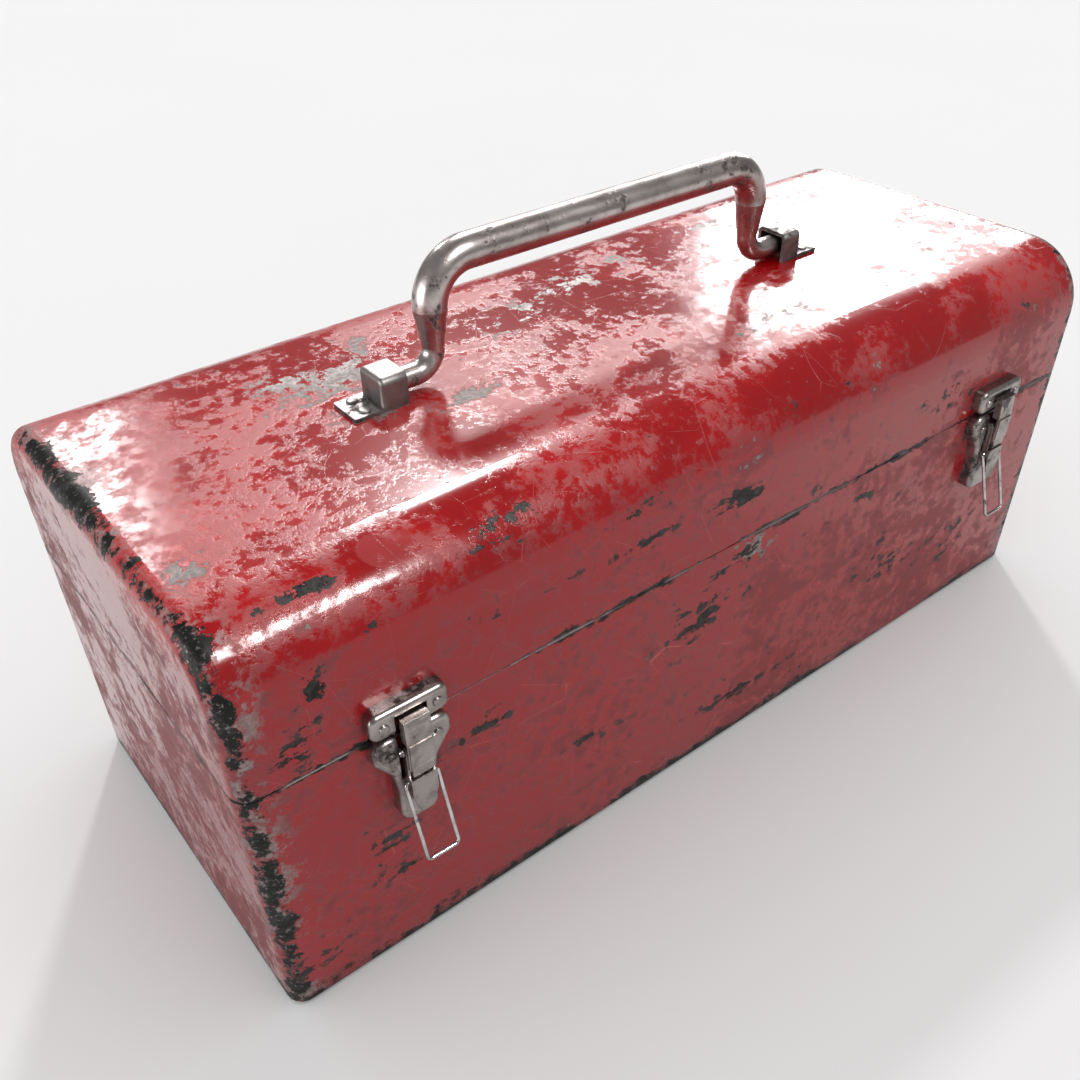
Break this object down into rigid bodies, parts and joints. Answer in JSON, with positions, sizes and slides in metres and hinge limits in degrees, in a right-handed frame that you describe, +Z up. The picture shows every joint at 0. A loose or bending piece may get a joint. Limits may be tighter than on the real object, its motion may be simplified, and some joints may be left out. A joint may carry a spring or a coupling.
{
  "type": "steel toolbox with tray",
  "caption": "Oblong steel hand toolbox with arched lid, rear piano hinge, draw latches with wire pulls, drop handle and lift-out tray.",
  "frame": {"origin": "on the floor under the middle of the box", "axes": "+X along the box, latches face -Y, hinge at +Y, +Z up"},
  "size_m": [0.5, 0.2287, 0.258],
  "materials": {
    "red_paint": "worn gloss enamel over steel",
    "inner_paint": "satin enamel",
    "bare_steel": "dull worn steel",
    "latch_nickel": "worn nickel plate",
    "wire_chrome": "bright wire",
    "zinc": "zinc plate"
  },
  "bodies": {
    "base": {"base_shell": "red_paint", "tray_rest_left": "inner_paint", "tray_rest_right": "inner_paint", "hinge_leaf_base": "zinc", "hinge_pin": "zinc", "hinge_rivets_base": "zinc", "latch_plate_left": "latch_nickel", "latch_plate_right": "latch_nickel", "latch_plate_rivets": "latch_nickel", "latch_lever_studs": "latch_nickel"},
    "lid": {"lid_shell": "red_paint", "hinge_leaf_lid": "zinc", "hinge_rivets_lid": "zinc", "latch_keeper_left": "latch_nickel", "latch_keeper_right": "latch_nickel", "latch_keeper_rivets": "latch_nickel", "handle_bracket_left": "bare_steel", "handle_bracket_right": "bare_steel", "handle_doubler_left": "inner_paint", "handle_doubler_right": "inner_paint", "handle_rivets": "bare_steel", "handle_studs": "bare_steel"},
    "handle": {"handle": "bare_steel"},
    "tray": {"tray_pan": "inner_paint", "tray_dividers": "inner_paint", "tray_lug_left": "zinc", "tray_lug_right": "zinc", "tray_lug_rivets": "zinc", "tray_bar": "zinc", "tray_bar_screws": "zinc"},
    "lever_left": {"latch_lever_left": "latch_nickel", "latch_hook_pin_left": "latch_nickel"},
    "hook_left": {"latch_hook_left": "latch_nickel"},
    "bail_left": {"latch_bail_left": "wire_chrome"},
    "lever_right": {"latch_lever_right": "latch_nickel", "latch_hook_pin_right": "latch_nickel"},
    "hook_right": {"latch_hook_right": "latch_nickel"},
    "bail_right": {"latch_bail_right": "wire_chrome"}
  },
  "joints": [
    {"name": "lid_hinge", "type": "hinge", "parent": "base", "child": "lid", "pos_m": [0, 0.1043, 0.129], "axis": [-1, 0, 0], "range_deg": [0, 110]},
    {"name": "handle_swing", "type": "hinge", "parent": "lid", "child": "handle", "pos_m": [0, 0, 0.205], "axis": [1, 0, 0], "range_deg": [-85, 85]},
    {"name": "tray_lift", "type": "slide", "parent": "base", "child": "tray", "axis": [0, 0, 1], "range_m": [0, 0.05]},
    {"name": "lever_left_swing", "type": "hinge", "parent": "base", "child": "lever_left", "pos_m": [-0.183, -0.1094, 0.124], "axis": [-1, 0, 0], "range_deg": [0, 90]},
    {"name": "hook_left_swing", "type": "hinge", "parent": "lever_left", "child": "hook_left", "pos_m": [-0.183, -0.1088, 0.1135], "axis": [1, 0, 0], "range_deg": [0, 75]},
    {"name": "bail_left_swing", "type": "hinge", "parent": "lever_left", "child": "bail_left", "pos_m": [-0.183, -0.1099, 0.1074], "axis": [-1, 0, 0], "range_deg": [-14, 90]},
    {"name": "lever_right_swing", "type": "hinge", "parent": "base", "child": "lever_right", "pos_m": [0.183, -0.1094, 0.124], "axis": [-1, 0, 0], "range_deg": [0, 90]},
    {"name": "hook_right_swing", "type": "hinge", "parent": "lever_right", "child": "hook_right", "pos_m": [0.183, -0.1088, 0.1135], "axis": [1, 0, 0], "range_deg": [0, 75]},
    {"name": "bail_right_swing", "type": "hinge", "parent": "lever_right", "child": "bail_right", "pos_m": [0.183, -0.1099, 0.1074], "axis": [-1, 0, 0], "range_deg": [-14, 90]}
  ],
  "couplings": [
    {"joint": "hook_left_swing", "follows": "lever_left_swing", "ratio": 0.83333},
    {"joint": "hook_right_swing", "follows": "lever_right_swing", "ratio": 0.83333}
  ]
}
